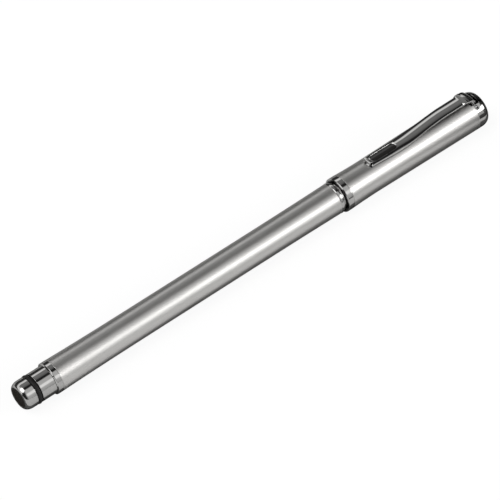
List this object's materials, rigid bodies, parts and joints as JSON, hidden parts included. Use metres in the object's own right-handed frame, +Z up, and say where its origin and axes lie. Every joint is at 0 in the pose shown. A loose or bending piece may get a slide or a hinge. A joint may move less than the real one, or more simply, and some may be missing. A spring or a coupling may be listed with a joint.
{
  "type": "stylus pen",
  "caption": "Slim capped touch-screen stylus: waisted satin metal barrel, sealed tail plug, push-on cap with a sprung pocket clip, and a clear disc tip on a sprung ball joint.",
  "frame": {"origin": "centre of the bounding box seen from above, on the line that the cap's crown rests on", "axes": "+X along the pen from the tail to the cap's crown, +Z up through the clip, which is on top"},
  "size_m": [0.14, 0.0092, 0.0108],
  "materials": {
    "satin_aluminium": "satin",
    "polished_chrome": "polished",
    "black_rubber": "satin",
    "turned_brass": "satin",
    "spring_steel": "polished",
    "black_inlay": "gloss",
    "liner_plastic": "matte",
    "clear_disc": "gloss"
  },
  "bodies": {
    "barrel": {"tail_plug": "polished_chrome", "tail_seal": "black_rubber", "tail_ring": "polished_chrome", "tail_bush": "turned_brass", "barrel_tube": "satin_aluminium", "front_bush": "turned_brass", "front_ring": "polished_chrome", "grip_section": "polished_chrome", "section_seal": "black_rubber", "tip_holder": "polished_chrome", "spring_screw": "turned_brass", "tip_spring": "spring_steel"},
    "follower": {"spring_follower": "spring_steel"},
    "stem": {"ball_stem": "spring_steel"},
    "tip": {"disc_socket": "spring_steel", "tip_disc": "clear_disc"},
    "cap": {"cap_lip_ring": "polished_chrome", "cap_liner": "liner_plastic", "cap_tube": "satin_aluminium", "cap_plug": "turned_brass", "crown_ring": "polished_chrome", "crown_finial": "polished_chrome", "clip_pin": "spring_steel", "clip_spring": "spring_steel"},
    "clip": {"clip": "polished_chrome", "clip_inlay": "black_inlay"}
  },
  "joints": [
    {"name": "cap_pull", "type": "slide", "parent": "barrel", "child": "cap", "axis": [1, 0, 0], "range_m": [0, 0.036]},
    {"name": "clip_lift", "type": "hinge", "parent": "cap", "child": "clip", "pos_m": [0.0672, 0, 0.00825], "axis": [0, 1, 0], "range_deg": [0, 8], "stiffness_Nm_per_rad": 0.5, "springref_deg": -6.88, "deforming": ["clip_spring"]},
    {"name": "tip_press", "type": "slide", "parent": "barrel", "child": "follower", "axis": [-1, 0, 0], "range_m": [0, 0.0008], "stiffness_N_per_m": 250, "springref_m": -0.001, "deforming": ["tip_spring"]},
    {"name": "stem_turn", "type": "hinge", "parent": "follower", "child": "stem", "pos_m": [0.053, 0, 0.00465], "axis": [1, 0, 0], "continuous": true},
    {"name": "disc_tilt", "type": "hinge", "parent": "stem", "child": "tip", "pos_m": [0.053, 0, 0.00465], "axis": [0, 1, 0], "range_deg": [-15, 15]}
  ]
}
